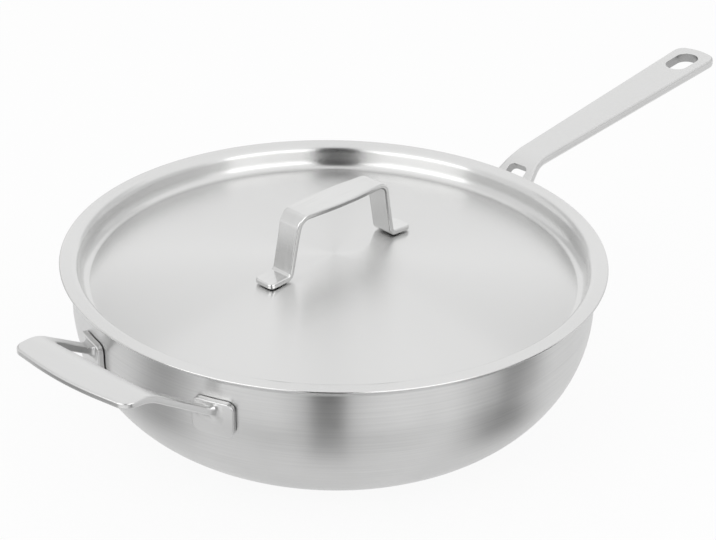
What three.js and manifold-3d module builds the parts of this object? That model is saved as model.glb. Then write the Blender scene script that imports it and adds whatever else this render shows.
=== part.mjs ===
// Covered wok: a three-ply pan with a long handle and a helper handle, and a pressed lid with a strap handle.
// Millimetres, +Z up. The origin is the middle of the pan's underside, and the long handle runs along +X.

import * as THREE from 'three';
import { mergeVertices } from 'three/addons/utils/BufferGeometryUtils.js';
import Module from 'manifold-3d';

const wasm = await Module();
wasm.setup();

const degrees = Math.PI / 180;

// Pan: three bonded sheets, an upright wall on a round bowl, and a pouring rim
const panRadius = 142.5;
const panHeight = 92.1;
const bowlRadius = 71;
const outerSkinThickness = 0.5;
const coreThickness = 1.5;
const innerSkinThickness = 0.5;
const bondGap = 0.02;
const rimBendRadius = 3;
const rimAngle = 65 * degrees;

// Lid: a pressing whose wall drops into the pan and whose flange lies on the rim
const lidThickness = 1.2;
const lidSeatGap = 0.3;
const lidFitClearance = 0.6;
const lidFlangeOverhang = 6.5;
const lidFlangeFillet = 2.4;
const lidTroughDepth = 10.3;
const lidTroughWidth = 5.8;
const lidTroughFillet = 4;
const lidWallDraft = 8 * degrees;
const lidCrown = 9.7;
const lidTurn = -2.5 * degrees;

// Lid handle: one strap bent into a bridge with two feet
const strapThickness = 3.3;
const strapTopWidth = 18.2;
const strapFootWidth = 14.4;
const strapEdgeRadius = 0.5;
const strapHeight = 36;
const strapTopSpan = 63;
const strapLegSpan = 76;
const strapFootLength = 15;
const strapTopBend = 7;
const strapFootBend = 3.5;
const strapFootCorner = 4;

// Long handle: a flat bar with rounded edges, bent down at a windowed root to a foot on the wall.
// Reaches are from the wall's outside, and rises and drops are from the top of the rim.
const handleReach = 206.8;
const handleThickness = 6;
const handleEdgeRadius = 2;
const handleRootWidth = 30;
const handleNeckWidth = 19.4;
const handleTipWidth = 28.6;
const handleTipRound = 9;
const handleSlope = 5.1 * degrees;
const handleRootSlope = 38.3 * degrees;
const handleBendReach = 26.5;
const handleBendRise = 1.2;
const handleBendRadius = 24;
const handleNeckBeyondBend = 8;
const slotLength = 25;
const slotWidth = 14.2;
const slotMargin = 8;
const windowLength = 20;
const windowWidth = 12.8;
const windowCorner = 3.2;
const windowMargin = 5.8;
const handleFootWidth = 40;
const handleFootHeight = 24;

// Helper handle: a grip with a thin front edge, bent down into two arms that run to a pad each
const helperReach = 52.7;
const helperRise = 4.5;
const helperThickness = 4.7;
const helperFrontThickness = 3.4;
const helperEdgeRadius = 1.4;
const helperBendStart = 13.5;
const helperBendEnd = 26;
const helperSlope = 31 * degrees;
const gripDepth = 24.2;
const gripLength = 83;
const gripBow = 3.9;
const gripFlat = 24;
const gripBowRadius = 140;
const gripCorner = 7;
const gripShoulder = 22;
const gripShoulderSpan = 85.2;
const gripShoulderRound = 30;
const gripInnerCorner = 5;
const armWidth = 8.5;
const padSpan = 88.9;
const padWidth = 23.2;
const padHeight = 19.5;

// Feet and pads follow the wall, and stand off it by their weld spots
const padThickness = 3;
const padCorner = 4.5;
const padDrop = 23.9;
const weldGap = 0.5;
const weldClearance = 0.05;
const lidWeldClearance = 0.1;
const wallWeldRadius = 3;
const lidWeldRadius = 2;

// Facets
const turnedSides = 48;
const weldSides = 10;
const bowlSteps = 9;
const bendSteps = 3;
const domeSteps = 5;

const panWall = outerSkinThickness + coreThickness + innerSkinThickness;
const padCentreZ = panHeight - padDrop;
const handleTipX = panRadius + handleReach;
const handleBendX = panRadius + handleBendReach;
const handleBendZ = panHeight + handleBendRise;
const helperFrontX = -panRadius - helperReach;
const helperTopZ = panHeight + helperRise;
const padAngle = Math.asin(padSpan / 2 / panRadius);
const lidFlangeTop = panHeight + lidSeatGap + lidThickness;
const lidFlangeRadius = panRadius + lidFlangeOverhang;

// A chain is a list of corners [x, z, fillet, steps]. Offsetting moves it to the left of its own direction.
function offsetChain(chain, distance) {
  const direction = (from, to) => new THREE.Vector2(to[0] - from[0], to[1] - from[1]).normalize();
  return chain.map(([x, z, fillet, steps], i) => {
    if (x === 0) return [0, z + distance];
    const before = direction(chain[i - 1], chain[i]);
    const after = i < chain.length - 1 ? direction(chain[i], chain[i + 1]) : before;
    const reach = distance / (1 + before.dot(after));
    const turn = Math.sign(before.cross(after));
    return [
      x - (before.y + after.y) * reach,
      z + (before.x + after.x) * reach,
      fillet && fillet - turn * distance,
      steps,
    ];
  });
}

// The chain's points, with each fillet as an arc.
function roundChain(chain) {
  return chain.flatMap(([x, z, fillet, steps], i) => {
    const corner = new THREE.Vector2(x, z);
    if (!fillet) return [corner];
    const before = new THREE.Vector2(x - chain[i - 1][0], z - chain[i - 1][1]).normalize();
    const after = new THREE.Vector2(chain[i + 1][0] - x, chain[i + 1][1] - z).normalize();
    const turn = Math.atan2(before.cross(after), before.dot(after));
    const start = corner.clone().addScaledVector(before, -fillet * Math.tan(Math.abs(turn) / 2));
    const toCentre = new THREE.Vector2(-before.y, before.x).multiplyScalar(fillet * Math.sign(turn));
    const centre = start.clone().add(toCentre);
    return Array.from(
      { length: steps + 1 },
      (_, step) => start.clone().rotateAround(centre, (turn * step) / steps),
    );
  });
}

// A body turned about Z from a profile of radius and height.
function turned(points) {
  return new THREE.LatheGeometry(points, turnedSides).rotateX(Math.PI / 2);
}

// A turned sheet between two offsets of one chain that starts on the axis.
function turnedSheet(chain, lowOffset, highOffset) {
  const under = roundChain(offsetChain(chain, lowOffset));
  const over = roundChain(offsetChain(chain, highOffset));
  return turned([...under, ...over.reverse()]);
}

// A rounded rectangle about the origin, counter-clockwise.
function roundedOutline(width, height, corner, steps) {
  const centres = [[1, 1], [-1, 1], [-1, -1], [1, -1]];
  return centres.flatMap(([signX, signY], quarter) => Array.from({ length: steps + 1 }, (_, step) => {
    const angle = (quarter + step / steps) * (Math.PI / 2);
    return new THREE.Vector2(
      signX * (width / 2 - corner) + corner * Math.cos(angle),
      signY * (height / 2 - corner) + corner * Math.sin(angle),
    );
  }));
}

// A closed skin over rings of matching points, with a fan over each end.
function loft(rings) {
  const count = rings[0].length;
  const last = (rings.length - 1) * count;
  const index = [];
  for (let start = 0; start < last; start += count) {
    for (let i = 0; i < count; i += 1) {
      const a = start + i;
      const b = start + ((i + 1) % count);
      index.push(a, b, a + count, b, b + count, a + count);
    }
  }
  for (let i = 1; i < count - 1; i += 1) {
    index.push(0, i + 1, i, last, last + i, last + i + 1);
  }
  return new THREE.BufferGeometry().setFromPoints(rings.flat()).setIndex(index);
}

// The distance along a line at each of its points.
function distancesAlong(line) {
  let distance = 0;
  return line.map((point, i) => {
    distance += i > 0 ? point.distanceTo(line[i - 1]) : 0;
    return distance;
  });
}

// A bar along a line in the XZ plane, with a width that depends on the distance along it.
function bentBar(line, extraStations, widthAt, thickness, edgeRadius) {
  const distances = distancesAlong(line);
  const stations = [...distances, ...extraStations].sort((a, b) => a - b);
  const headings = line.map((point, i) => {
    const next = line[Math.min(i + 1, line.length - 1)];
    return next.clone().sub(line[Math.max(i - 1, 0)]).normalize();
  });
  const rings = stations.map((station) => {
    const next = Math.max(1, distances.findIndex((distance) => distance >= station));
    const share = (station - distances[next - 1]) / (distances[next] - distances[next - 1]);
    const centre = line[next - 1].clone().lerp(line[next], share);
    const heading = headings[next - 1].clone().lerp(headings[next], share).normalize();
    const outline = roundedOutline(widthAt(station), thickness, edgeRadius, 2);
    return outline.map(
      ({ x, y }) => new THREE.Vector3(centre.x - heading.y * y, x, centre.y + heading.x * y),
    );
  });
  return loft(rings);
}

// How a bar's end is rounded in plan: its share of the full width, and the stations that follow the curve.
const endCurve = 3;
const endStationShares = [0.03, 0.12, 0.3, 0.6, 1];

function endShare(fromEnd, round) {
  const into = Math.max(0, 1 - (fromEnd + endStationShares[0] * round) / round);
  return (1 - into ** endCurve) ** (1 / endCurve);
}

function solid(geometry) {
  const bare = geometry.clone();
  bare.deleteAttribute('normal');
  bare.deleteAttribute('uv');
  const merged = mergeVertices(bare, 1e-4);
  const corners = merged.index.array;
  const triangles = [];
  for (let i = 0; i < corners.length; i += 3) {
    const [a, b, c] = corners.slice(i, i + 3);
    if (a !== b && b !== c && c !== a) triangles.push(a, b, c);
  }
  return new wasm.Manifold(new wasm.Mesh({
    numProp: 3,
    vertProperties: merged.attributes.position.array,
    triVerts: new Uint32Array(triangles),
  }));
}

function geometryOf(manifold) {
  const { vertProperties, triVerts } = manifold.getMesh();
  const geometry = new THREE.BufferGeometry();
  geometry.setAttribute('position', new THREE.BufferAttribute(vertProperties, 3));
  return geometry.setIndex(new THREE.BufferAttribute(triVerts, 1)).toNonIndexed();
}

// The lid lies loose in the pan, turned a little from the line of the handles.
const assembly = new THREE.Group();
const lidGroup = new THREE.Group();
lidGroup.rotation.z = lidTurn;
assembly.add(lidGroup);

function addPiece(name, geometry, { color, roughness }, group = assembly) {
  geometry.computeVertexNormals();
  const mesh = new THREE.Mesh(geometry, new THREE.MeshStandardMaterial({ color, roughness, metalness: 1 }));
  mesh.name = name;
  group.add(mesh);
  return mesh;
}

const brushedSteel = { color: 0xc9c9c8, roughness: 0.38 };
const satinSteel = { color: 0xd2d2d1, roughness: 0.42 };
const bareAluminium = { color: 0xb9bbbd, roughness: 0.5 };
const weldMetal = { color: 0x9a9a99, roughness: 0.6 };

// Pan: the outside face is the chain, and each sheet lies between two offsets inwards
const rimStartZ = panHeight - (rimBendRadius + panWall) * Math.sin(rimAngle);
const rimTangent = rimBendRadius * Math.tan(rimAngle / 2);
const rimCut = 0.01;
const panChain = [
  [0, 0],
  [panRadius, 0, bowlRadius, bowlSteps],
  [panRadius, rimStartZ + rimTangent, rimBendRadius, bendSteps],
  [
    panRadius + (rimTangent + rimCut) * Math.sin(rimAngle),
    rimStartZ + rimTangent + (rimTangent + rimCut) * Math.cos(rimAngle),
  ],
];
const coreStart = outerSkinThickness + bondGap;
const coreEnd = outerSkinThickness + coreThickness - bondGap;
addPiece('pan_outer_skin', turnedSheet(panChain, 0, outerSkinThickness), brushedSteel);
addPiece('pan_core', turnedSheet(panChain, coreStart, coreEnd), bareAluminium);
addPiece('pan_inner_skin', turnedSheet(panChain, outerSkinThickness + coreThickness, panWall), brushedSteel);

// Everything inside the pan's outside face, grown by a distance.
function panEnvelope(distance) {
  const outside = roundChain(offsetChain(panChain, -distance));
  return solid(turned([...outside, new THREE.Vector2(0, outside.at(-1).y)]));
}

const weldedFace = panEnvelope(weldGap);
const padFace = panEnvelope(weldGap + padThickness);
const weldFoot = panEnvelope(weldClearance);
const weldHead = panEnvelope(weldGap - weldClearance);

// A rounded plate on the wall, at an angle about Z.
function wallPad(angle, width, height) {
  const outline = new THREE.Shape(roundedOutline(height, width, padCorner, bendSteps));
  const blank = new THREE.ExtrudeGeometry(outline, { depth: bowlRadius, bevelEnabled: false });
  blank.rotateY(Math.PI / 2).translate(panRadius - bowlRadius / 2, 0, padCentreZ).rotateZ(angle);
  return solid(blank).intersect(padFace);
}

// A weld spot between a pad and the wall, at an angle about Z and a height.
function addWallWeld(name, angle, z) {
  const spot = new THREE.CylinderGeometry(wallWeldRadius, wallWeldRadius, bowlRadius, weldSides);
  spot.rotateZ(Math.PI / 2).translate(panRadius, 0, z).rotateZ(angle);
  addPiece(name, geometryOf(solid(spot).intersect(weldHead).subtract(weldFoot)), weldMetal);
}

// Long handle: its middle line starts inside the foot
const gripRun = handleReach - handleBendReach;
const handleLine = roundChain([
  [panRadius, handleBendZ - handleBendReach * Math.tan(handleRootSlope)],
  [handleBendX, handleBendZ, handleBendRadius, 2 * bendSteps],
  [handleTipX, handleBendZ + gripRun * Math.tan(handleSlope)],
]);
const handleLength = distancesAlong(handleLine).at(-1);
const neckDistance = handleBendReach / Math.cos(handleRootSlope) + handleNeckBeyondBend;

function handleWidthAt(distance) {
  const flare = 1 - THREE.MathUtils.smoothstep(distance, 0, neckDistance);
  const taper = Math.max(0, (distance - neckDistance) / (handleLength - neckDistance));
  const widening = (handleRootWidth - handleNeckWidth) * flare + (handleTipWidth - handleNeckWidth) * taper;
  return (handleNeckWidth + widening) * endShare(handleLength - distance, handleTipRound);
}

const rootStations = [0.25, 0.5, 0.75, 1].map((share) => share * neckDistance);
const tipStations = endStationShares.map((share) => handleLength - share * handleTipRound);
const handleBar = bentBar(
  handleLine,
  [...rootStations, ...tipStations],
  handleWidthAt,
  handleThickness,
  handleEdgeRadius,
);

// A long hole through the handle, square to its slope, at a distance along the slope from the bend.
const roundEndShare = 0.499;

function longHole(length, width, corner, fromBend, slope) {
  const outline = new THREE.Shape(roundedOutline(length, width, corner, 2 * bendSteps));
  const depth = 4 * handleThickness;
  const hole = new THREE.ExtrudeGeometry(outline, { depth, bevelEnabled: false });
  hole.translate(fromBend, 0, -depth / 2).rotateY(-slope).translate(handleBendX, 0, handleBendZ);
  return solid(hole);
}

const slotFromBend = gripRun / Math.cos(handleSlope) - slotMargin - slotLength / 2;
const windowFromBend = -windowMargin - windowLength / 2;
const longHandle = solid(handleBar)
  .add(wallPad(0, handleFootWidth, handleFootHeight))
  .subtract(longHole(slotLength, slotWidth, roundEndShare * slotWidth, slotFromBend, handleSlope))
  .subtract(longHole(windowLength, windowWidth, windowCorner, windowFromBend, handleRootSlope))
  .subtract(weldedFace);
addPiece('long_handle', geometryOf(longHandle), satinSteel);

const footWeldAngle = handleFootWidth / 3 / panRadius;
for (const [side, sign] of [['left', 1], ['right', -1]]) {
  addWallWeld(`long_handle_weld_${side}_upper`, sign * footWeldAngle, padCentreZ + handleFootHeight / 4);
  addWallWeld(`long_handle_weld_${side}_lower`, sign * footWeldAngle, padCentreZ - handleFootHeight / 4);
}

// Helper handle: one side of the loop's plan, from the pad round to the middle of the grip and back
const armEndX = -(panRadius - panWall) * Math.cos(padAngle);
const armEndY = panRadius * Math.sin(padAngle);
const gripInnerX = helperFrontX + gripDepth;
const outerSide = [
  [armEndX, armEndY + armWidth / 2],
  [helperFrontX + gripShoulder, gripShoulderSpan / 2, gripShoulderRound, bendSteps],
  [helperFrontX + gripBow, gripLength / 2, gripCorner, 2 * bendSteps],
  [helperFrontX, gripFlat / 2, gripBowRadius, bendSteps],
];
const innerSide = [
  [gripInnerX, gripShoulderSpan / 2 - armWidth, gripInnerCorner, 2 * bendSteps],
  [armEndX, armEndY - armWidth / 2],
];
const mirrored = (chain) => chain.map(([x, y, ...fillet]) => [x, -y, ...fillet]).reverse();
const helperOutline = roundChain([
  ...outerSide,
  ...mirrored(outerSide),
  ...mirrored(innerSide),
  ...innerSide,
]);
const helperPlate = new THREE.ExtrudeGeometry(new THREE.Shape(helperOutline), {
  depth: helperThickness - 2 * helperEdgeRadius,
  bevelThickness: helperEdgeRadius,
  bevelSize: helperEdgeRadius,
  bevelOffset: -helperEdgeRadius,
  bevelSegments: 2,
});
helperPlate.translate(0, 0, helperTopZ - helperThickness + helperEdgeRadius);

// The loop is flat and thinnest at its front, then bends down to a straight slope.
const helperBend = helperBendEnd - helperBendStart;

function bendDown(geometry) {
  const points = geometry.attributes.position;
  for (let i = 0; i < points.count; i += 1) {
    const run = points.getX(i) - helperFrontX;
    const bent = THREE.MathUtils.clamp(run - helperBendStart, 0, helperBend);
    const straight = Math.max(0, run - helperBendEnd);
    const fall = Math.tan(helperSlope) * (bent ** 2 / (2 * helperBend) + straight);
    const thinning = (1 - helperFrontThickness / helperThickness) * Math.max(0, 1 - run / helperBendEnd);
    const below = (helperTopZ - points.getZ(i)) * (1 - thinning);
    points.setZ(i, helperTopZ - below - fall);
  }
  return geometry;
}

// The plate is cut across at the steps of its bend, and each strip is bent by itself.
const flatPlate = solid(helperPlate);
const bendLines = Array.from(
  { length: bendSteps + 1 },
  (_, step) => helperFrontX + helperBendStart + (helperBend * step) / bendSteps,
);
const helperStrips = [...bendLines, 0].map((end, i) => {
  const start = i > 0 ? bendLines[i - 1] : 2 * helperFrontX;
  const span = new THREE.BoxGeometry(end - start, 2 * padSpan, 2 * helperThickness);
  span.translate((start + end) / 2, 0, helperTopZ - helperThickness / 2);
  return solid(bendDown(geometryOf(flatPlate.intersect(solid(span)))));
});
const helperHandle = helperStrips
  .reduce((loop, strip) => loop.add(strip))
  .add(wallPad(Math.PI - padAngle, padWidth, padHeight))
  .add(wallPad(Math.PI + padAngle, padWidth, padHeight))
  .subtract(weldedFace);
addPiece('helper_handle', geometryOf(helperHandle), satinSteel);

for (const [side, sign] of [['left', -1], ['right', 1]]) {
  addWallWeld(`helper_weld_${side}_upper`, Math.PI + sign * padAngle, padCentreZ + padHeight / 4);
  addWallWeld(`helper_weld_${side}_lower`, Math.PI + sign * padAngle, padCentreZ - padHeight / 4);
}

// Lid: the top face is the chain, and the sheet lies under it
const wallTopRadius = panRadius - panWall - lidFitClearance - lidThickness;
const floorZ = lidFlangeTop - lidTroughDepth;
const wallBottomRadius = wallTopRadius - lidTroughDepth * Math.tan(lidWallDraft);
const panelRadius = wallBottomRadius - lidTroughWidth;
const domeRadius = (panelRadius ** 2 + lidCrown ** 2) / (2 * lidCrown);
const panelHeightAt = (radius) => floorZ + lidCrown - domeRadius + Math.sqrt(domeRadius ** 2 - radius ** 2);
const dome = Array.from({ length: domeSteps + 1 }, (_, step) => {
  const radius = (panelRadius * step) / domeSteps;
  return [radius, panelHeightAt(radius)];
});
const lidChain = [
  ...dome,
  [wallBottomRadius, floorZ, lidTroughFillet, bendSteps],
  [wallTopRadius, lidFlangeTop, lidFlangeFillet, bendSteps],
  [lidFlangeRadius, lidFlangeTop],
];
addPiece('lid', turnedSheet(lidChain, -lidThickness, 0), brushedSteel, lidGroup);

// Lid handle: the strap's middle line, whose feet lie along the crown of the panel
const legX = strapLegSpan / 2;
const footSlope = Math.asin(legX / domeRadius);
const footZ = panelHeightAt(legX) + weldGap + strapThickness / 2;
const footEndX = legX + strapFootLength * Math.cos(footSlope);
const footEndZ = footZ - strapFootLength * Math.sin(footSlope);
const strapTopZ = footZ + strapHeight - strapThickness;
const strapSide = [
  [footEndX, footEndZ],
  [legX, footZ, strapFootBend, bendSteps],
  [strapTopSpan / 2, strapTopZ, strapTopBend, 2 * bendSteps],
];
const strapLine = roundChain([...strapSide.map(([x, ...rest]) => [-x, ...rest]), ...strapSide.toReversed()]);
const strapLength = distancesAlong(strapLine).at(-1);

function strapWidthAt(distance) {
  const fromEnd = Math.min(distance, strapLength - distance);
  const widening = THREE.MathUtils.smoothstep(fromEnd, strapHeight, strapLength / 2);
  return THREE.MathUtils.lerp(strapFootWidth, strapTopWidth, widening) * endShare(fromEnd, strapFootCorner);
}

const footStations = endStationShares.map((share) => share * strapFootCorner);
const topStations = [-0.3, -0.15, 0, 0.15, 0.3].map((share) => strapLength / 2 + share * strapTopSpan);
const strap = bentBar(
  strapLine,
  [...footStations, ...topStations, ...footStations.map((station) => strapLength - station)],
  strapWidthAt,
  strapThickness,
  strapEdgeRadius,
);
addPiece('lid_handle', strap, satinSteel, lidGroup);

// Two weld spots under each foot of the strap
const lidWeldX = legX + (strapFootLength / 2) * Math.cos(footSlope);
const lidWeldZ = panelHeightAt(lidWeldX) + weldGap / 2;
for (const [end, sign] of [['front', 1], ['rear', -1]]) {
  for (const [side, signY] of [['left', 1], ['right', -1]]) {
    const height = weldGap - 2 * lidWeldClearance;
    const spot = new THREE.CylinderGeometry(lidWeldRadius, lidWeldRadius, height, weldSides);
    const mesh = addPiece(`lid_handle_weld_${end}_${side}`, spot.rotateX(Math.PI / 2), weldMetal, lidGroup);
    mesh.position.set(sign * lidWeldX, (signY * strapFootWidth) / 4, lidWeldZ);
    mesh.rotation.y = sign * footSlope;
  }
}

export default assembly;
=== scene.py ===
import math
import bmesh
import bpy
from mathutils import Matrix, Vector
from mathutils.kdtree import KDTree


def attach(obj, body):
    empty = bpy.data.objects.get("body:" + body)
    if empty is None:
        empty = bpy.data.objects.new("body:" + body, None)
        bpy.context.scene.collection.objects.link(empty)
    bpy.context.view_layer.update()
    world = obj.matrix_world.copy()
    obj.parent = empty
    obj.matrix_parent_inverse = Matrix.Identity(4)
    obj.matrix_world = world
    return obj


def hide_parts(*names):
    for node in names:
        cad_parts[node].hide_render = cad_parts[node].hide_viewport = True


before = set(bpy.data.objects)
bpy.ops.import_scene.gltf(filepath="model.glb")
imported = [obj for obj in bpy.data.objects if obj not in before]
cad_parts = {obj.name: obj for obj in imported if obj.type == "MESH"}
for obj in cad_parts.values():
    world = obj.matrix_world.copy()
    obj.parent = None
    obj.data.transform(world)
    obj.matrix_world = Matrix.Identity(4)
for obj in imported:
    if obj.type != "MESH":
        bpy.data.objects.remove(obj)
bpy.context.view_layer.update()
scene = bpy.context.scene
scene.view_settings.view_transform = "Standard"
mm = 0.001  # shapes are drawn in millimetres and scaled as they are finished


# Camera, at the place that the photo was taken from

cameraView = {
    "aim": (5.4, -12.7, 85.2),
    "heading": 41.5,  # the way it looks, from +X
    "drop": 27.62,
    "roll": 1.31,
    "distance": 1185.0,
    "focalPixels": 2175.0,
    "imageWidth": 716.0,
    "sensorWidth": 36.0,
}


def placeCamera():
    heading = math.radians(cameraView["heading"])
    drop = math.radians(cameraView["drop"])
    look = Vector((math.cos(heading) * math.cos(drop), math.sin(heading) * math.cos(drop), -math.sin(drop)))
    lens = bpy.data.cameras.new("photoCamera")
    lens.sensor_fit = "HORIZONTAL"
    lens.sensor_width = cameraView["sensorWidth"]
    lens.lens = cameraView["sensorWidth"] * cameraView["focalPixels"] / cameraView["imageWidth"]
    lens.clip_start = 0.01
    camera = bpy.data.objects.new("photoCamera", lens)
    scene.collection.objects.link(camera)
    turn = look.to_track_quat("-Z", "Y").to_matrix().to_4x4()
    roll = Matrix.Rotation(math.radians(cameraView["roll"]), 4, "Z")
    spot = Vector(cameraView["aim"]) - look * cameraView["distance"]
    camera.matrix_world = Matrix.Translation(spot * mm) @ turn @ roll
    scene.camera = camera


placeCamera()
print("camera placed")


# Materials

def newMaterial(name):
    material = bpy.data.materials.new(name)
    material.use_nodes = True
    tree = material.node_tree
    return material, tree, tree.nodes["Principled BSDF"]


def addNode(tree, kind, inputs=None, **settings):
    node = tree.nodes.new(kind)
    for key, value in settings.items():
        setattr(node, key, value)
    for key, value in (inputs or {}).items():
        if isinstance(value, bpy.types.NodeSocket):
            tree.links.new(value, node.inputs[key])
        else:
            node.inputs[key].default_value = value
    return node


def mathNode(tree, operation, *values):
    return addNode(tree, "ShaderNodeMath", dict(enumerate(values)), operation=operation).outputs[0]


# Shows the second shader in place of the first by a share from 0 to 1
def mixToOutput(tree, share, first, second):
    mix = addNode(tree, "ShaderNodeMixShader", {0: share, 1: first.outputs[0], 2: second.outputs[0]})
    tree.links.new(mix.outputs[0], tree.nodes["Material Output"].inputs["Surface"])


# The grooves of a turned piece run round Z: fast across the sheet, slow along the circle
def turnedGrooves(tree, across, along):
    place = addNode(tree, "ShaderNodeTexCoord").outputs["Object"]
    flat = addNode(tree, "ShaderNodeVectorMath", {0: place, 1: (1, 1, 0)}, operation="MULTIPLY").outputs[0]
    radius = addNode(tree, "ShaderNodeVectorMath", {0: flat}, operation="LENGTH").outputs["Value"]
    height = addNode(tree, "ShaderNodeSeparateXYZ", {0: place}).outputs["Z"]
    profile = mathNode(tree, "ADD", radius, height)
    lane = mathNode(tree, "MULTIPLY", profile, across)
    circle = addNode(tree, "ShaderNodeVectorMath", {0: flat}, operation="NORMALIZE").outputs[0]
    slow = addNode(tree, "ShaderNodeVectorMath", {0: circle, 3: along}, operation="SCALE").outputs[0]
    rise = addNode(tree, "ShaderNodeCombineXYZ", {"Z": lane}).outputs[0]
    return addNode(tree, "ShaderNodeVectorMath", {0: slow, 1: rise}, operation="ADD").outputs[0]


# The grooves of a straight piece run along the direction with the lowest count
def straightGrooves(tree, counts):
    place = addNode(tree, "ShaderNodeTexCoord").outputs["Object"]
    return addNode(tree, "ShaderNodeMapping", {"Vector": place, "Scale": counts}).outputs[0]


grainNoise = {"fineDetail": 3.0, "cloudScale": 28.0, "cloudDetail": 2.0, "lowest": 0.3, "highest": 0.7}


def spread(tree, value, low, high):
    noise = {"Value": value, "From Min": grainNoise["lowest"], "From Max": grainNoise["highest"]}
    return addNode(tree, "ShaderNodeMapRange", {**noise, "To Min": low, "To Max": high}).outputs[0]


def grainTexture(tree, vector, scale, detail):
    settings = {"Vector": vector, "Scale": scale, "Detail": detail}
    return addNode(tree, "ShaderNodeTexNoise", settings).outputs[0]


def metalFinish(name, finish, grooves):
    material, tree, shader = newMaterial(name)
    fine = grainTexture(tree, grooves(tree), 1.0, grainNoise["fineDetail"])
    place = addNode(tree, "ShaderNodeTexCoord").outputs["Object"]
    cloud = grainTexture(tree, place, grainNoise["cloudScale"], grainNoise["cloudDetail"])
    both = mathNode(tree, "ADD", cloud, fine)
    half = mathNode(tree, "MULTIPLY", both, 0.5)
    dark = tuple(finish["colour"] * (1 - finish["shade"]) * tint for tint in finish["tint"])
    light = tuple(finish["colour"] * (1 + finish["shade"]) * tint for tint in finish["tint"])
    share = spread(tree, half, 0.0, 1.0)
    colour = addNode(tree, "ShaderNodeMix", data_type="RGBA")
    colour.inputs[6].default_value = (*dark, 1)
    colour.inputs[7].default_value = (*light, 1)
    tree.links.new(share, colour.inputs[0])
    # Painted shade: the base colour is darkened where this vertex layer is set, and lightened as a painted
    # highlight where it is below zero
    paintedShadeAndHighlight = addNode(tree, "ShaderNodeAttribute", attribute_name="paintedShadeAndHighlight").outputs["Fac"]
    shaded = mathNode(tree, "MULTIPLY_ADD", paintedShadeAndHighlight, -finish["paintedShadeStrength"], 1.0)
    toned = addNode(tree, "ShaderNodeVectorMath", {0: colour.outputs[2], 3: shaded}, operation="SCALE")
    tree.links.new(toned.outputs[0], shader.inputs["Base Color"])
    rough = finish["roughness"]
    swing = finish["roughSwing"]
    tree.links.new(spread(tree, half, rough - swing, rough + swing), shader.inputs["Roughness"])
    relief = {"Height": fine, "Strength": finish["bump"], "Distance": finish["depth"]}
    tree.links.new(addNode(tree, "ShaderNodeBump", relief).outputs[0], shader.inputs["Normal"])
    shader.inputs["Metallic"].default_value = 1.0
    shader.inputs["Anisotropic"].default_value = finish["anisotropy"]
    if finish["anisotropy"]:
        around = addNode(tree, "ShaderNodeTangent", direction_type="RADIAL", axis="Z")
        tree.links.new(around.outputs[0], shader.inputs["Tangent"])
        shader.inputs["Anisotropic Rotation"].default_value = 0.25
    return material


# How much darker each finish is painted where its vertex layer marks painted shade, in hollows and on the
# rim's cut edge; below zero it paints a highlight
steelTint = (1.0, 1.0, 0.995)
brushedFinish = {
    "colour": 0.70, "shade": 0.08, "tint": steelTint, "roughness": 0.32, "roughSwing": 0.04,
    "bump": 0.04, "depth": 0.00003, "anisotropy": 0.75, "paintedShadeStrength": 0.7,
}
lidFinish = {
    "colour": 0.745, "shade": 0.008, "tint": steelTint, "roughness": 0.25, "roughSwing": 0.015,
    "bump": 0.015, "depth": 0.00003, "anisotropy": 0.95, "paintedShadeStrength": 0.0,
}
satinFinish = {
    "colour": 0.72, "shade": 0.02, "tint": steelTint, "roughness": 0.33, "roughSwing": 0.04,
    "bump": 0.08, "depth": 0.00003, "anisotropy": 0.0, "paintedShadeStrength": 0.4,
}
strapFinish = {
    "colour": 0.735, "shade": 0.06, "tint": steelTint, "roughness": 0.2, "roughSwing": 0.03,
    "bump": 0.08, "depth": 0.00003, "anisotropy": 0.0, "paintedShadeStrength": 0.4,
}
# The core shows only at the rim's cut edge: its own dull grey, set darker as painted shade for the gap
# under the lid's flange
aluminiumFinish = {
    "colour": 0.45, "shade": 0.03, "tint": (0.99, 1.0, 1.01), "roughness": 0.45, "roughSwing": 0.05,
    "bump": 0.1, "depth": 0.00003, "anisotropy": 0.0, "paintedShadeStrength": 0.6,
}
weldFinish = {
    "colour": 0.42, "shade": 0.1, "tint": (1.0, 0.98, 0.95), "roughness": 0.5, "roughSwing": 0.08,
    "bump": 0.3, "depth": 0.0001, "anisotropy": 0.0, "paintedShadeStrength": 0.0,
}
brushedPan = metalFinish("brushedPan", brushedFinish, lambda tree: turnedGrooves(tree, 900.0, 2.2))
brushedLid = metalFinish("brushedLid", lidFinish, lambda tree: turnedGrooves(tree, 900.0, 2.2))
satinHandle = metalFinish("satinHandle", satinFinish, lambda tree: straightGrooves(tree, (60, 1500, 1500)))
satinHelper = metalFinish("satinHelper", satinFinish, lambda tree: straightGrooves(tree, (1500, 60, 1500)))
satinStrap = metalFinish("satinStrap", strapFinish, lambda tree: straightGrooves(tree, (40, 1000, 40)))
cutAluminium = metalFinish("cutAluminium", aluminiumFinish, lambda tree: turnedGrooves(tree, 1500.0, 3.0))
weldMetal = metalFinish("weldMetal", weldFinish, lambda tree: straightGrooves(tree, (900, 900, 900)))
print("materials made")


# Mesh helpers

sharpTurn = 1.2  # radians between the faces of an edge that gets rounded
sharpAngle = 40.0  # degrees past which the shading shows a crease
samePlace = 0.01  # millimetres between vertices that count as one


def everything(bm):
    return bm.verts[:] + bm.edges[:] + bm.faces[:]


def lineTo(bm, vert, x, z):
    tip = bmesh.ops.extrude_vert_indiv(bm, verts=[vert])["verts"][0]
    tip.co = (x, 0, z)
    return tip


def arcTo(bm, vert, centreX, centreZ, angle, steps):
    swept = bmesh.ops.spin(
        bm, geom=[vert], cent=(centreX, 0, centreZ), axis=(0, 1, 0), angle=math.radians(angle), steps=steps
    )
    return next(item for item in swept["geom_last"] if isinstance(item, bmesh.types.BMVert))


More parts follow.
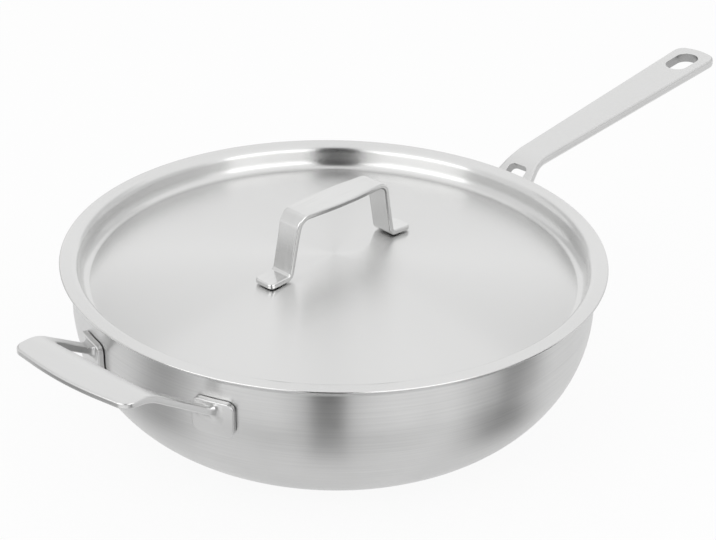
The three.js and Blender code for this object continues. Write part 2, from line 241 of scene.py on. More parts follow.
def roundCorner(bm, vert, fillet, segments):
    before, after = (edge.other_vert(vert).co - vert.co for edge in vert.link_edges)
    setback = fillet * math.tan((math.pi - before.angle(after)) / 2)
    bmesh.ops.bevel(
        bm, geom=[vert], offset=setback, segments=segments, profile=0.5, affect="VERTICES", material=-1
    )


# A flat outline of corners (x, y) or (x, y, fillet, segments), filled with one face
def flatOutline(corners):
    bm = bmesh.new()
    verts = [bm.verts.new((x, y, 0)) for x, y, *_ in corners]
    for start, end in zip(verts, verts[1:] + verts[:1]):
        bm.edges.new((start, end))
    for vert, (_, _, *rounding) in zip(verts, corners):
        if rounding:
            roundCorner(bm, vert, *rounding)
    bmesh.ops.contextual_create(bm, geom=bm.edges[:])
    return bm


def mirrorAcross(bm, axis):
    bmesh.ops.mirror(bm, geom=everything(bm), matrix=Matrix(), merge_dist=0.001, axis=axis)
    bmesh.ops.recalc_face_normals(bm, faces=bm.faces[:])


# Gives a flat sheet its thickness, half above and half below
def thicken(bm, thickness):
    bmesh.ops.recalc_face_normals(bm, faces=bm.faces[:])
    bmesh.ops.solidify(bm, geom=bm.faces[:], thickness=thickness)
    middle = sum(vert.co.z for vert in bm.verts) / len(bm.verts)
    bmesh.ops.translate(bm, vec=(0, 0, -middle), verts=bm.verts[:])


# The edges between a flat face and a side face that a test on their middle point accepts
def rimEdges(bm, accepted=lambda middle: True):
    edges = []
    for edge in bm.edges:
        level = abs(edge.verts[0].co.z - edge.verts[1].co.z) < 0.001
        if level and len(edge.link_faces) == 2 and edge.calc_face_angle() > sharpTurn:
            if accepted((edge.verts[0].co + edge.verts[1].co) / 2):
                edges.append(edge)
    return edges


def roundEdges(bm, edges, radius, segments):
    bmesh.ops.bevel(
        bm, geom=edges, offset=radius, segments=segments, profile=0.5, affect="EDGES", material=-1
    )


def cutAcross(bm, stations, along=(1, 0, 0), geom=None):
    for station in stations:
        chosen = geom() if geom else everything(bm)
        bmesh.ops.bisect_plane(
            bm, geom=chosen, dist=0.0001, plane_co=Vector(along) * station, plane_no=along
        )


def evenSteps(start, end, count):
    return [start + (end - start) * step / count for step in range(count + 1)]


# Bends what lies past a station, as a folding press does: up for a positive angle
def pressBend(bm, start, radius, angle, steps):
    turn = math.radians(angle)
    arc = radius * abs(turn)
    cutAcross(bm, evenSteps(start, start + arc, steps))
    side = math.copysign(1, turn)
    for vert in bm.verts:
        past = vert.co.x - start
        if past > 0.00001:
            bent = turn * min(past / arc, 1)
            beyond = max(past - arc, 0)
            reach = radius - side * vert.co.z
            vert.co.x = start + reach * math.sin(abs(bent)) + beyond * math.cos(bent)
            vert.co.z = side * (radius - reach * math.cos(bent)) + beyond * math.sin(bent)


def keepOneSide(bm, geom, point, direction):
    bmesh.ops.bisect_plane(
        bm, geom=geom, dist=0.0001, plane_co=point, plane_no=direction, clear_inner=True
    )
    bmesh.ops.holes_fill(bm, edges=[edge for edge in bm.edges if edge.is_boundary])


def temporaryObject(bm):
    mesh = bpy.data.meshes.new("temporary")
    bm.to_mesh(mesh)
    bm.free()
    holder = bpy.data.objects.new("temporary", mesh)
    scene.collection.objects.link(holder)
    return holder


def unite(bm, *others):
    base = temporaryObject(bm)
    helpers = [temporaryObject(other) for other in others]
    for helper in helpers:
        union = base.modifiers.new("union", "BOOLEAN")
        union.operation = "UNION"
        union.solver = "EXACT"
        union.object = helper
    depsgraph = bpy.context.evaluated_depsgraph_get()
    merged = bmesh.new()
    merged.from_mesh(base.evaluated_get(depsgraph).data)
    for holder in [base, *helpers]:
        mesh = holder.data
        bpy.data.objects.remove(holder)
        bpy.data.meshes.remove(mesh)
    bmesh.ops.remove_doubles(merged, verts=merged.verts[:], dist=0.0005)
    return merged


# Joining mixes up vertex layers, so the vertices marked for painted shade are found again by their places
def uniteMarked(bm, *others):
    layer = bm.verts.layers.float["paintedShadeAndHighlight"]
    marked = [vert.co.copy() for vert in bm.verts if vert[layer] > 0.5]
    places = KDTree(len(marked))
    for number, place in enumerate(marked):
        places.insert(place, number)
    places.balance()
    joined = unite(bm, *others)
    layer = joined.verts.layers.float.get("paintedShadeAndHighlight") or joined.verts.layers.float.new("paintedShadeAndHighlight")
    for vert in joined.verts:
        vert[layer] = float(places.find(vert.co)[2] < samePlace)
    return joined


def finishPiece(name, bm, material, body, node):
    bmesh.ops.scale(bm, vec=(mm, mm, mm), verts=bm.verts[:])
    mesh = bpy.data.meshes.new(name)
    bm.to_mesh(mesh)
    openEdges = sum(not edge.is_manifold for edge in bm.edges)
    bm.free()
    mesh.shade_smooth()
    mesh.set_sharp_from_angle(angle=math.radians(sharpAngle))
    mesh.materials.append(material)
    piece = bpy.data.objects.new(name, mesh)
    scene.collection.objects.link(piece)
    weighted = piece.modifiers.new("weightedNormals", "WEIGHTED_NORMAL")
    weighted.keep_sharp = True
    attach(piece, body)
    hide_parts(node)
    print(name, "faces", len(mesh.polygons), "open edges", openEdges)


# Pan: three bonded sheets, each turned from the same profile

panShape = {
    "radius": 142.5,
    "height": 92.1,
    "bowlRound": 71.0,
    "wall": 2.5,
    "rimRound": 3.0,
    "rimTurn": 65.0,
    "bowlSteps": 24,
    "rimSteps": 8,
    "turnSteps": 256,
    "edgeRound": 0.12,
}
panSheets = [
    ("bowlOuterSkin", "pan_outer_skin", brushedPan, "brushed_steel", 0.0, 0.5),
    ("bowlCore", "pan_core", cutAluminium, "aluminium_core", 0.52, 1.46),
    ("bowlInnerSkin", "pan_inner_skin", brushedPan, "brushed_steel", 2.0, 0.5),
]


def turnSheet(bm, steps, thickness, facing, edgeRound):
    bmesh.ops.spin(
        bm, geom=bm.verts[:] + bm.edges[:], cent=(0, 0, 0), axis=(0, 0, 1),
        angle=math.tau, steps=steps, use_merge=True,
    )
    bmesh.ops.remove_doubles(bm, verts=bm.verts[:], dist=0.001)
    bmesh.ops.recalc_face_normals(bm, faces=bm.faces[:])
    middleFace = min(bm.faces, key=lambda face: face.calc_center_median().xy.length)
    if middleFace.normal.z * facing < 0:
        bmesh.ops.reverse_faces(bm, faces=bm.faces[:])
    bmesh.ops.solidify(bm, geom=bm.faces[:], thickness=thickness)
    corners = [edge for edge in bm.edges if edge.calc_face_angle(0) > sharpTurn]
    roundEdges(bm, corners, edgeRound, 3)


def bowlSheet(inset, thickness):
    radius = panShape["radius"]
    bowl = panShape["bowlRound"]
    rim = panShape["rimRound"]
    rimStart = panShape["height"] - (rim + panShape["wall"]) * math.sin(math.radians(panShape["rimTurn"]))
    bm = bmesh.new()
    tip = lineTo(bm, bm.verts.new((0, 0, inset)), radius - bowl, inset)
    tip = arcTo(bm, tip, radius - bowl, bowl, -90, panShape["bowlSteps"])
    tip = lineTo(bm, tip, radius - inset, rimStart)
    arcTo(bm, tip, radius + rim, rimStart, panShape["rimTurn"], panShape["rimSteps"])
    turnSheet(bm, panShape["turnSteps"], thickness, -1, panShape["edgeRound"])
    paintedShadeAndHighlight = bm.verts.layers.float.new("paintedShadeAndHighlight")  # painted shade on the cut edge at the rim, for the gap under the lid's flange
    for vert in bm.verts:
        turned = math.atan2(vert.co.z - rimStart, radius + rim - vert.co.xy.length)
        vert[paintedShadeAndHighlight] = float(math.degrees(turned) > panShape["rimTurn"] - 1)
    return bm


for name, node, material, slot, inset, thickness in panSheets:
    finishPiece(name, bowlSheet(inset, thickness), material, "pan", node)


# Pads that follow the wall and stand off it by the weld gap

padShape = {
    "thickness": 3.0,
    "corner": 4.5,
    "cornerSteps": 6,
    "centreZ": 68.2,
    "gap": 0.5,
    "edgeRound": 0.8,
    "stepsAcross": 12,
    "stepsUp": 8,
    "marksEnd": 0.4,  # share of a bar's fillet within which its painted-shade marks stop
    "sideFacing": 0.2,  # how far a face of the bar has to look sideways to be spread
}
padFace = panShape["radius"] + padShape["gap"] + padShape["thickness"]


def wallPad(width, height, angle):
    corner = (padShape["corner"], padShape["cornerSteps"])
    bm = flatOutline([
        (-width / 2, -height / 2, *corner),
        (width / 2, -height / 2, *corner),
        (width / 2, height / 2, *corner),
        (-width / 2, height / 2, *corner),
    ])
    thicken(bm, padShape["thickness"])
    roundEdges(bm, rimEdges(bm, lambda middle: middle.z > 0), padShape["edgeRound"], 4)
    cutAcross(bm, evenSteps(-width / 2, width / 2, padShape["stepsAcross"]))
    cutAcross(bm, evenSteps(-height / 2, height / 2, padShape["stepsUp"]), along=(0, 1, 0))
    for vert in bm.verts:
        off = padShape["gap"] + padShape["thickness"] / 2 + vert.co.z
        level = padShape["centreZ"] + vert.co.y
        lean = math.asin(max(0, panShape["bowlRound"] - level) / panShape["bowlRound"])
        middleRadius = panShape["radius"] - panShape["bowlRound"]
        reach = middleRadius + (panShape["bowlRound"] + off) * math.cos(lean)
        turn = math.radians(angle) + vert.co.x / panShape["radius"]
        vert.co = (reach * math.cos(turn), reach * math.sin(turn), level - off * math.sin(lean))
    bmesh.ops.recalc_face_normals(bm, faces=bm.faces[:])
    return bm


# Where a bar comes within its fillet of the pad's face, it spreads out to meet it, up to the pad's top
def spreadOntoPad(bm, fillet, padHeight):
    padTop = padShape["centreZ"] + padHeight / 2 - padShape["edgeRound"]
    bm.normal_update()
    paintedShadeAndHighlight = bm.verts.layers.float["paintedShadeAndHighlight"]
    moves = []
    for vert in bm.verts:
        near = vert.co.xy.length - padFace
        if near < fillet:
            vert[paintedShadeAndHighlight] *= float(near > padShape["marksEnd"] * fillet)
            out = Vector((vert.co.x, vert.co.y, 0)).normalized()
            sideways = vert.normal - out * vert.normal.dot(out)
            if sideways.length > padShape["sideFacing"]:
                fall = fillet - max(near, 0)
                spreadBy = fillet - math.sqrt(fillet ** 2 - fall ** 2)
                moves.append((vert, sideways.normalized() * spreadBy))
    for vert, move in moves:
        vert.co += move
        vert.co.z = min(vert.co.z, padTop)


filletShares = [1.0, 0.72, 0.48, 0.29, 0.14, 0.05, 0.0]  # where a bar is cut across to make its fillet


# Long handle: a flat bar with two long holes, bent at its root

handleShape = {
    "thickness": 6.0,
    "topRound": 1.5,
    "lowRound": 2.6,
    "holeRound": 0.3,
    "rootWidth": 30.0,
    "neckWidth": 19.8,
    "tipWidth": 28.9,
    "tipRound": 7.5,
    "tipBow": 3.1,
    "tipBowFrom": 4.0,
    "tipBowRound": 26.0,
    "neckAt": (0.78, 8.0),  # share of the way to the bend, and the distance past that
    "neckRound": 26.0,
    "rootAt": 0.3,
    "rootRound": 40.0,
    "rootSlope": 38.3,
    "slope": 5.1,
    "bendReach": 26.5,
    "bendZ": 93.3,
    "bendRound": 24.0,
    "reach": 206.8,
    "slot": (25.0, 14.2, 8.0),  # length, width, distance from the tip
    "slotFlat": 0.02,  # keeps the rounds at each end of the slot apart
    "window": (20.0, 12.8, 5.8),  # length, width, distance from the bend
    "windowRound": 3.2,
    "foot": (40.0, 24.0),
    "footFillet": 3.2,
    "rootStart": -4.0,
    "cutFromWall": 1.7,  # the bar ends inside its foot
}


def longHandle():
    shape = handleShape
    rootSlope = math.radians(shape["rootSlope"])
    slope = math.radians(shape["slope"])
    turn = rootSlope - slope
    bendAt = shape["bendReach"] / math.cos(rootSlope)
    setback = shape["bendRound"] * math.tan(turn / 2)
    gripRun = (shape["reach"] - shape["bendReach"]) / math.cos(slope)
    tip = bendAt - 2 * setback + shape["bendRound"] * turn + gripRun
    slotLength, slotWidth, slotMargin = shape["slot"]
    slotEnd = tip - slotMargin
    windowLength, windowWidth, windowMargin = shape["window"]
    windowEnd = bendAt - windowMargin
    slotRound = (slotWidth / 2 - shape["slotFlat"], 10)
    windowRound = (shape["windowRound"], 8)
    neckShare, neckPast = shape["neckAt"]
    bm = flatOutline([
        (shape["rootStart"], 0),
        (windowEnd - windowLength, 0),
        (windowEnd - windowLength, windowWidth / 2, *windowRound),
        (windowEnd, windowWidth / 2, *windowRound),
        (windowEnd, 0),
        (slotEnd - slotLength, 0),
        (slotEnd - slotLength, slotWidth / 2, *slotRound),
        (slotEnd, slotWidth / 2, *slotRound),
        (slotEnd, 0),
        (tip, 0),
        (tip, shape["tipBowFrom"], shape["tipBowRound"], 6),
        (tip - shape["tipBow"], shape["tipWidth"] / 2, shape["tipRound"], 10),
        (neckShare * bendAt + neckPast, shape["neckWidth"] / 2, shape["neckRound"], 8),
        (shape["rootAt"] * bendAt, shape["rootWidth"] / 2, shape["rootRound"], 8),
        (shape["rootStart"], shape["rootWidth"] / 2),
    ])
    mirrorAcross(bm, "Y")
    thicken(bm, shape["thickness"])

    def inHole(middle):
        inWindow = windowEnd - windowLength - 1 < middle.x < windowEnd + 1
        inSlot = slotEnd - slotLength - 1 < middle.x < slotEnd + 1
        halfWidth = (windowWidth if inWindow else slotWidth) / 2
        return (inWindow or inSlot) and abs(middle.y) < halfWidth + 0.5

    def onOutside(middle):
        return not inHole(middle) and middle.x > shape["rootStart"] + 0.01

    roundEdges(bm, rimEdges(bm, inHole), shape["holeRound"], 4)
    roundEdges(bm, rimEdges(bm, lambda middle: onOutside(middle) and middle.z > 0), shape["topRound"], 6)
    roundEdges(bm, rimEdges(bm, lambda middle: onOutside(middle) and middle.z < 0), shape["lowRound"], 7)
    # Painted shade on the walls of the window and the slot
    paintedShadeAndHighlight = bm.verts.layers.float.new("paintedShadeAndHighlight")
    halfWall = (shape["thickness"] - shape["holeRound"]) / 2
    for vert in bm.verts:
        vert[paintedShadeAndHighlight] = float(inHole(vert.co) and abs(vert.co.z) < halfWall)
    pressBend(bm, bendAt - setback, shape["bendRound"], -math.degrees(turn), 12)
    bmesh.ops.rotate(bm, cent=(0, 0, 0), matrix=Matrix.Rotation(-rootSlope, 3, "Y"), verts=bm.verts[:])
    startZ = shape["bendZ"] - shape["bendReach"] * math.tan(rootSlope)
    bmesh.ops.translate(bm, vec=(panShape["radius"], 0, startZ), verts=bm.verts[:])
    keepOneSide(bm, everything(bm), (panShape["radius"] + shape["cutFromWall"], 0, 0), (1, 0, 0))
    cutAcross(bm, [padFace + share * shape["footFillet"] for share in filletShares])
    spreadOntoPad(bm, shape["footFillet"], shape["foot"][1])
    return uniteMarked(bm, wallPad(*shape["foot"], 0.0))


finishPiece("longHandleCasting", longHandle(), satinHandle, "pan", "long_handle")


# Helper handle: a thin-edged grip, bent down into two arms that run to the pads

helperShape = {
    "reach": 52.7,
    "topZ": 96.6,
    "bendStart": 13.5,
    "bendEnd": 26.0,
    "slope": 31.0,
    "thickness": 4.7,
    "frontThickness": 3.4,
    "topRound": 1.3,
    "lowRound": 1.3,
    "gripDepth": 24.2,
    "gripLength": 83.0,
    "gripBow": 3.9,
    "bowFrom": 12.0,
    "bowRound": 170.0,
    "gripCorner": 7.0,
    "shoulder": 22.0,
    "shoulderSpan": 85.2,
    "shoulderRound": 30.0,
    "innerCorner": 5.0,
    "armWidth": 8.5,
    "padSpan": 88.9,
    "pad": (23.2, 19.5),
    "padFillet": 4.5,
    "armSink": 1.5,  # the arms end inside their pads
    "stations": 30,
}


def helperFall(run):
    start = helperShape["bendStart"]
    bend = helperShape["bendEnd"] - start
    bent = min(max(run - start, 0), bend)
    straight = max(run - start - bend, 0)
    return math.tan(math.radians(helperShape["slope"])) * (bent ** 2 / (2 * bend) + straight)


def helperHandle():
    shape = helperShape
    frontX = -panShape["radius"] - shape["reach"]
    innerX = frontX + shape["gripDepth"]
    padAngle = math.asin(shape["padSpan"] / 2 / panShape["radius"])
    endX = -(panShape["radius"] - panShape["wall"]) * math.cos(padAngle)
    endY = shape["padSpan"] / 2
    halfArm = shape["armWidth"] / 2
    shoulderY = shape["shoulderSpan"] / 2
    bm = flatOutline([
        (frontX, 0),
        (frontX, shape["bowFrom"], shape["bowRound"], 6),
        (frontX + shape["gripBow"], shape["gripLength"] / 2, shape["gripCorner"], 10),
        (frontX + shape["shoulder"], shoulderY, shape["shoulderRound"], 6),
        (endX, endY + halfArm),
        (endX, endY - halfArm),
        (innerX, shoulderY - shape["armWidth"], shape["innerCorner"], 10),
        (innerX, 0),
    ])
    mirrorAcross(bm, "Y")
    thickness = shape["thickness"]
    thicken(bm, thickness)
    outside = endX - 0.01
    roundEdges(bm, rimEdges(bm, lambda middle: middle.z > 0 and middle.x < outside), shape["topRound"], 4)
    roundEdges(bm, rimEdges(bm, lambda middle: middle.z < 0 and middle.x < outside), shape["lowRound"], 6)
    # Painted shade on the inner sides of the arms, below their top rounds
    paintedShadeAndHighlight = bm.verts.layers.float.new("paintedShadeAndHighlight")
    for vert in bm.verts:
        along = (vert.co.x - innerX) / (endX - innerX)
        innerSide = shoulderY - shape["armWidth"] + along * (endY - halfArm - shoulderY + shape["armWidth"])
        below = vert.co.z < thickness / 2 - shape["topRound"] / 2
        vert[paintedShadeAndHighlight] = float(below and along > 0 and abs(vert.co.y) < innerSide + shape["lowRound"])
    cutAcross(bm, evenSteps(frontX, endX, shape["stations"]))
    for vert in bm.verts:
        run = vert.co.x - frontX
        thinning = (1 - shape["frontThickness"] / thickness) * max(1 - run / shape["bendEnd"], 0)
        below = (thickness / 2 - vert.co.z) * (1 - thinning)
        vert.co.z = shape["topZ"] - below - helperFall(run)
    for side in (1, -1):
        out = Vector((-math.cos(padAngle), side * math.sin(padAngle), 0))

        def armHalf():
            inside = [face for face in bm.faces if face.calc_center_median().y * side > 0]
            edges = {edge for face in inside for edge in face.edges}
            verts = {vert for face in inside for vert in face.verts}
            return list(verts) + list(edges) + inside

        keepOneSide(bm, armHalf(), out * (padFace - shape["armSink"]), out)
        cutAcross(bm, [padFace + share * shape["padFillet"] for share in filletShares], out, armHalf)
    spreadOntoPad(bm, shape["padFillet"], shape["pad"][1])
    turn = math.degrees(padAngle)
    return uniteMarked(bm, wallPad(*shape["pad"], 180 - turn), wallPad(*shape["pad"], 180 + turn))


finishPiece("helperHandleCasting", helperHandle(), satinHelper, "pan", "helper_handle")


# Lid: one pressing, turned about its axis

lidShape = {
    "top": 93.6,
    "flangeRadius": 148.85,
    "flangeFillet": 4.2,
    "wallTopRadius": 138.5,
    "wallBottomRadius": 137.8,
    "troughDepth": 12.8,
    "troughFillet": 5.6,
    "panelRadius": 133.0,
    "creaseFillet": 0.8,
    "crown": 12.2,
    "thickness": 1.2,
    "edgeRound": 0.5,
    "domeSteps": 28,
    "turnSteps": 288,
    "turned": -2.5,
}
floorZ = lidShape["top"] - lidShape["troughDepth"]
domeRadius = (lidShape["panelRadius"] ** 2 + lidShape["crown"] ** 2) / (2 * lidShape["crown"])
domeCentre = floorZ + lidShape["crown"] - domeRadius


def pressedLid():
    shape = lidShape
    bm = bmesh.new()
    domeAngle = math.degrees(math.asin(shape["panelRadius"] / domeRadius))
    apex = bm.verts.new((0, 0, domeCentre + domeRadius))
    crease = arcTo(bm, apex, 0, domeCentre, domeAngle, shape["domeSteps"])
    wallFoot = lineTo(bm, crease, shape["wallBottomRadius"], floorZ)
    wallTop = lineTo(bm, wallFoot, shape["wallTopRadius"], shape["top"])
    lineTo(bm, wallTop, shape["flangeRadius"], shape["top"])
    roundCorner(bm, crease, shape["creaseFillet"], 4)
    roundCorner(bm, wallFoot, shape["troughFillet"], 10)
    roundCorner(bm, wallTop, shape["flangeFillet"], 8)
    turnSheet(bm, shape["turnSteps"], shape["thickness"], 1, shape["edgeRound"])
    return bm


finishPiece("pressedLid", pressedLid(), brushedLid, "lid", "lid")


# Lid handle: half a strap, folded twice and mirrored

strapShape = {
    "thickness": 3.1,
    "topWidth": 18.4,
    "footWidth": 13.8,
    "widestTo": 8.0,  # from the middle
    "narrowPast": 4.0,  # past the start of a leg
    "widthFillet": 120.0,
    "edgeRound": 1.0,
    "height": 35.8,
    "topSpan": 64.4,
    "legSpan": 77.4,
    "footLength": 15.0,
    "topBend": 7.0,
    "footBend": 3.5,
    "footCorner": 3.2,
    "gap": 0.5,
    "legPaintedShade": 1.6,  # painted shade on the inner edges of the legs
    "legPaintedHighlight": -0.5,  # painted highlight on their sides, below zero to brighten them
}


def strapHandle():
    shape = strapShape
    legX = shape["legSpan"] / 2
    footSlope = math.asin(legX / domeRadius)
    footZ = domeCentre + math.sqrt(domeRadius ** 2 - legX ** 2) + shape["gap"] + shape["thickness"] / 2
    drop = shape["height"] - shape["thickness"]
    spreadOut = (shape["legSpan"] - shape["topSpan"]) / 2
    legTurn = math.atan2(drop, spreadOut)
    footTurn = legTurn - footSlope
    topSetback = shape["topBend"] * math.tan(legTurn / 2)
    footSetback = shape["footBend"] * math.tan(footTurn / 2)
    topBendAt = shape["topSpan"] / 2 - topSetback
    legStart = topBendAt + shape["topBend"] * legTurn
    footBendAt = legStart + math.hypot(drop, spreadOut) - topSetback - footSetback
    footStart = footBendAt + shape["footBend"] * footTurn
    end = footStart + shape["footLength"] - footSetback
    topHalf = shape["topWidth"] / 2
    footHalf = shape["footWidth"] / 2
    widest = (shape["widestTo"], topHalf, shape["widthFillet"], 8)
    narrowed = (legStart + shape["narrowPast"], footHalf, shape["widthFillet"], 8)
    corner = (end, footHalf, shape["footCorner"], 8)
    side = [(0, topHalf), widest, narrowed, corner]
    bm = flatOutline(side + [(x, -y, *rounding) for x, y, *rounding in reversed(side)])
    mirrorAcross(bm, "X")
    thicken(bm, shape["thickness"])
    roundEdges(bm, rimEdges(bm), shape["edgeRound"], 5)
    cutAcross(bm, [-legStart, -topBendAt, topBendAt, legStart])
    # Painted shade on the inner rounds of the legs, and on the beam's inner round and sides; painted
    # highlight on the legs' sides
    paintedShadeAndHighlight = bm.verts.layers.float.new("paintedShadeAndHighlight")
    sideHalf = shape["thickness"] / 2 - shape["edgeRound"] + 0.05
    innerFace = 0.15 - shape["thickness"] / 2
    for vert in bm.verts:
        onLeg = topBendAt < abs(vert.co.x) < footBendAt
        onSide = abs(vert.co.z) < sideHalf and abs(vert.co.y) > footHalf - 0.1
        onInnerRound = innerFace < vert.co.z < -sideHalf
        if onLeg:
            vert[paintedShadeAndHighlight] = shape["legPaintedShade"] * onInnerRound + shape["legPaintedHighlight"] * onSide
        elif abs(vert.co.x) <= topBendAt:
            vert[paintedShadeAndHighlight] = float(onInnerRound or onSide)
    for _ in range(2):
        pressBend(bm, footBendAt, shape["footBend"], math.degrees(footTurn), 10)
        pressBend(bm, topBendAt, shape["topBend"], -math.degrees(legTurn), 12)
        bmesh.ops.rotate(bm, cent=(0, 0, 0), matrix=Matrix.Rotation(math.pi, 3, "Z"), verts=bm.verts[:])
    bmesh.ops.translate(bm, vec=(0, 0, footZ + drop), verts=bm.verts[:])
    turned = Matrix.Rotation(math.radians(lidShape["turned"]), 3, "Z")
    bmesh.ops.rotate(bm, cent=(0, 0, 0), matrix=turned, verts=bm.verts[:])
    return bm


finishPiece("strapHandle", strapHandle(), satinStrap, "lid", "lid_handle")

for name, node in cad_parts.items():
    if "weld" in name:
        node.data.materials.clear()
        node.data.materials.append(weldMetal)
print("weld spots finished")


# Stage: pale floor, white surround, two soft boxes, and grey flags that only the metal sees

stageSet = {
    "floorSize": 12.0,
    "floorDrop": 0.0002,  # below the base
    "flagLift": 0.0002,  # from one lying flag to the next
    "lampAim": 0.06,  # height that the boxes face
    "floorColour": 0.86,
    "floorGlow": 0.9,  # share of plain white that the camera sees
    "floorInMetal": (0.8, 0.86),  # share and strength of the white that the metal reflects
    "worldLight": 0.9,
    "boxes": [  # degrees round from the camera, rise, distance, width, height, strength
        (35.0, 33.0, 1.5, 1.0, 0.8, 2.9),
        (-42.0, 33.0, 1.5, 1.2, 0.8, 3.45),
    ],
    "standing": [  # degrees round, distance, width, bottom, top, grey, soft sides, soft ends, cover
        (-0.5, 0.262, 0.062, 0.0, 0.11, 0.04, 0.35, 0.01, 0.88),
        (-3.0, 0.264, 0.14, 0.0, 0.11, 0.03, 1.0, 0.01, 0.34),
        (0.0, 1.6, 0.68, 0.0, 5.0, 0.02, 0.12, 0.01, 1.0),
        (65.5, 0.27, 0.125, 0.0, 0.11, 0.02, 0.65, 0.01, 1.0),
        (-57.0, 0.27, 0.14, 0.0, 0.11, 0.05, 0.9, 0.01, 0.42),
        (97.0, 2.0, 2.9, 0.15, 1.6, 0.70, 0.3, 0.15, 1.0),
        (-97.0, 2.0, 2.9, 0.15, 3.2, 0.85, 0.3, 0.2, 1.0),
        (143.0, 2.2, 1.0, 0.15, 2.6, 0.66, 0.3, 0.3, 1.0),
        (-143.0, 2.2, 1.0, 0.15, 2.6, 0.58, 0.3, 0.3, 1.0),
    ],
    # Most dark lying flags near the pan stand in for the floor's shade round it and under the helper
    # handle, a painted shadow that only the metal reflects; those above the floor's tone paint lighter
    # floor into its reflections
    "lying": [  # degrees round, near end, far end, width, grey, soft sides, soft ends, cover
        (0.0, 0.15, 0.30, 0.05, 0.03, 0.6, 0.5, 0.42),
        (53.0, 0.13, 0.27, 0.14, 0.03, 0.9, 0.6, 0.7),
        (-54.0, 0.13, 0.31, 0.13, 0.03, 0.9, 0.5, 0.5),
        (0.0, 0.14, 0.27, 0.42, 0.03, 0.8, 0.9, 0.3),
        (30.0, 0.28, 0.42, 0.24, 1.08, 0.4, 0.4, 1.0),
        (-24.0, 0.28, 0.42, 0.20, 1.08, 0.4, 0.4, 0.9),
        (-61.0, 0.295, 0.55, 0.28, 0.32, 0.4, 0.25, 1.0),
        (120.0, 0.29, 0.60, 0.12, 0.72, 0.5, 0.3, 1.0),
        (137.0, 0.20, 0.46, 0.09, 1.0, 0.4, 0.3, 1.0),
    ],
}


def aroundCamera(degreesRight, distance, height):
    angle = math.radians(cameraView["heading"] + 180 + degreesRight)
    return Vector((distance * math.cos(angle), distance * math.sin(angle), height))


# White to the camera, a little less so to the metal, and plain to everything else, so that it keeps shadows
def floorMaterial():
    material, tree, shader = newMaterial("paleFloor")
    colour = stageSet["floorColour"]
    shader.inputs["Base Color"].default_value = (colour, colour, colour, 1)
    shader.inputs["Roughness"].default_value = 0.9
    shader.inputs["Specular IOR Level"].default_value = 0.0
    metalShare, metalStrength = stageSet["floorInMetal"]
    path = addNode(tree, "ShaderNodeLightPath")
    inMetal = path.outputs["Is Glossy Ray"]
    toCamera = mathNode(tree, "MULTIPLY", path.outputs["Is Camera Ray"], stageSet["floorGlow"])
    share = mathNode(tree, "MULTIPLY_ADD", inMetal, metalShare, toCamera)
    limits = {"To Min": 1.0, "To Max": metalStrength}
    strength = addNode(tree, "ShaderNodeMapRange", {"Value": inMetal, **limits})
    light = addNode(tree, "ShaderNodeEmission", {"Color": (1, 1, 1, 1), "Strength": strength.outputs[0]})
    mixToOutput(tree, share, shader, light)
    return material


def layFloor():
    bm = bmesh.new()
    half = stageSet["floorSize"] / 2
    bmesh.ops.create_grid(bm, x_segments=1, y_segments=1, size=half)
    bmesh.ops.translate(bm, vec=(0, 0, -stageSet["floorDrop"]), verts=bm.verts[:])
    mesh = bpy.data.meshes.new("floor")
    bm.to_mesh(mesh)
    bm.free()
    mesh.materials.append(floorMaterial())
    floor = bpy.data.objects.new("floor", mesh)
    scene.collection.objects.link(floor)


# How much is left of a cover where a value runs from its fade's start to its end
def fadeOut(tree, value, start, end, cover):
    fade = addNode(tree, "ShaderNodeMapRange", {"Value": value}, interpolation_type="SMOOTHSTEP")
    for key, setting in (("From Min", start), ("From Max", end), ("To Min", cover), ("To Max", 0.0)):
        fade.inputs[key].default_value = setting
    return fade.outputs[0]


def fromMiddle(tree, value):
    return mathNode(tree, "ABSOLUTE", mathNode(tree, "MULTIPLY_ADD", value, 2.0, -1.0))


def flagMaterial(name, grey, softSides, softEnds, cover):
    material, tree, _ = newMaterial(name)
    flat = addNode(tree, "ShaderNodeTexCoord").outputs["UV"]
    spots = addNode(tree, "ShaderNodeSeparateXYZ", {0: flat})
    sides = fadeOut(tree, fromMiddle(tree, spots.outputs["X"]), 1.0 - softSides, 1.0, cover)
    ends = fadeOut(tree, fromMiddle(tree, spots.outputs["Y"]), 1.0 - softEnds, 1.0, 1.0)
    glow = addNode(tree, "ShaderNodeEmission", {"Color": (grey, grey, grey, 1), "Strength": 1.0})
    clear = addNode(tree, "ShaderNodeBsdfTransparent")
    mixToOutput(tree, mathNode(tree, "MULTIPLY", sides, ends), clear, glow)
    return material


def showToMetalOnly(name, bm, material):
    mesh = bpy.data.meshes.new(name)
    bm.to_mesh(mesh)
    bm.free()
    mesh.materials.append(material)
    flag = bpy.data.objects.new(name, mesh)
    scene.collection.objects.link(flag)
    flag.visible_camera = False
    flag.visible_diffuse = False
    flag.visible_shadow = False
    flag.visible_transmission = False


def flagSheet(width, height):
    bm = bmesh.new()
    bm.loops.layers.uv.new("flat")
    bmesh.ops.create_grid(bm, x_segments=1, y_segments=1, size=0.5, calc_uvs=True)
    bmesh.ops.scale(bm, vec=(width, height, 1), verts=bm.verts[:])
    return bm


def turnToCamera(bm, around):
    turn = math.radians(cameraView["heading"] + 90 + around)
    bmesh.ops.rotate(bm, cent=(0, 0, 0), matrix=Matrix.Rotation(turn, 3, "Z"), verts=bm.verts[:])


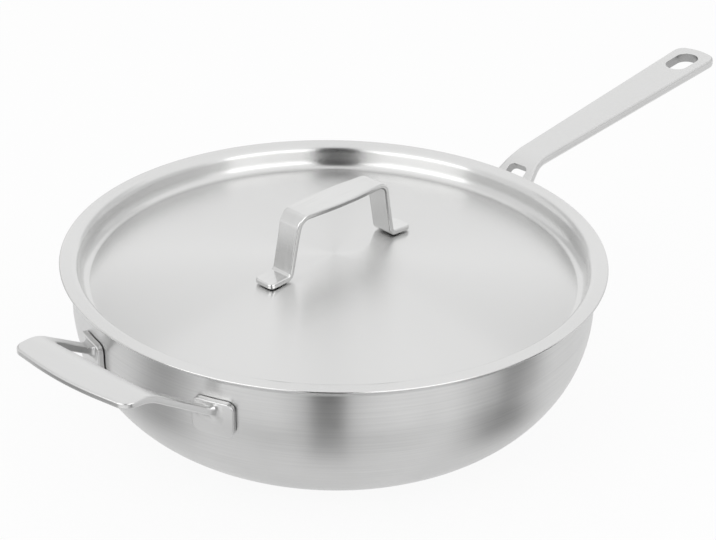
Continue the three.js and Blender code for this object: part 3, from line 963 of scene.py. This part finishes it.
def standFlag(name, around, distance, width, bottom, top, *shade):
    bm = flagSheet(width, top - bottom)
    bmesh.ops.rotate(bm, cent=(0, 0, 0), matrix=Matrix.Rotation(math.pi / 2, 3, "X"), verts=bm.verts[:])
    turnToCamera(bm, around)
    bmesh.ops.translate(bm, vec=aroundCamera(around, distance, (top + bottom) / 2), verts=bm.verts[:])
    showToMetalOnly(name, bm, flagMaterial(name, *shade))


def layFlag(name, level, around, nearEnd, farEnd, width, *shade):
    bm = flagSheet(width, farEnd - nearEnd)
    turnToCamera(bm, around)
    bmesh.ops.translate(bm, vec=aroundCamera(around, (nearEnd + farEnd) / 2, level), verts=bm.verts[:])
    showToMetalOnly(name, bm, flagMaterial(name, *shade))


def hangBox(number, around, rise, distance, width, height, strength):
    lamp = bpy.data.lights.new(f"softBox{number}", "AREA")
    lamp.shape = "RECTANGLE"
    lamp.size = width
    lamp.size_y = height
    lamp.energy = strength
    box = bpy.data.objects.new(f"softBox{number}", lamp)
    scene.collection.objects.link(box)
    level = distance * math.cos(math.radians(rise))
    box.location = aroundCamera(around, level, distance * math.sin(math.radians(rise)))
    toPan = Vector((0, 0, stageSet["lampAim"])) - box.location
    box.rotation_euler = toPan.to_track_quat("-Z", "Y").to_euler()
    box.visible_camera = False


def lightWorld():
    world = bpy.data.worlds.new("whiteSurround")
    world.use_nodes = True
    scene.world = world
    tree = world.node_tree
    path = addNode(tree, "ShaderNodeLightPath")
    seen = mathNode(tree, "MAXIMUM", path.outputs["Is Camera Ray"], path.outputs["Is Glossy Ray"])
    seen = mathNode(tree, "MAXIMUM", seen, path.outputs["Is Transmission Ray"])
    limits = {"To Min": stageSet["worldLight"], "To Max": 1.0}
    strength = addNode(tree, "ShaderNodeMapRange", {"Value": seen, **limits})
    background = tree.nodes["Background"]
    background.inputs["Color"].default_value = (1, 1, 1, 1)
    tree.links.new(strength.outputs[0], background.inputs["Strength"])


layFloor()
for number, flag in enumerate(stageSet["standing"]):
    standFlag(f"standingFlag{number}", *flag)
for number, flag in enumerate(stageSet["lying"]):
    layFlag(f"lyingFlag{number}", stageSet["flagLift"] * (number + 1), *flag)
for number, box in enumerate(stageSet["boxes"]):
    hangBox(number, *box)
lightWorld()
print("stage set")
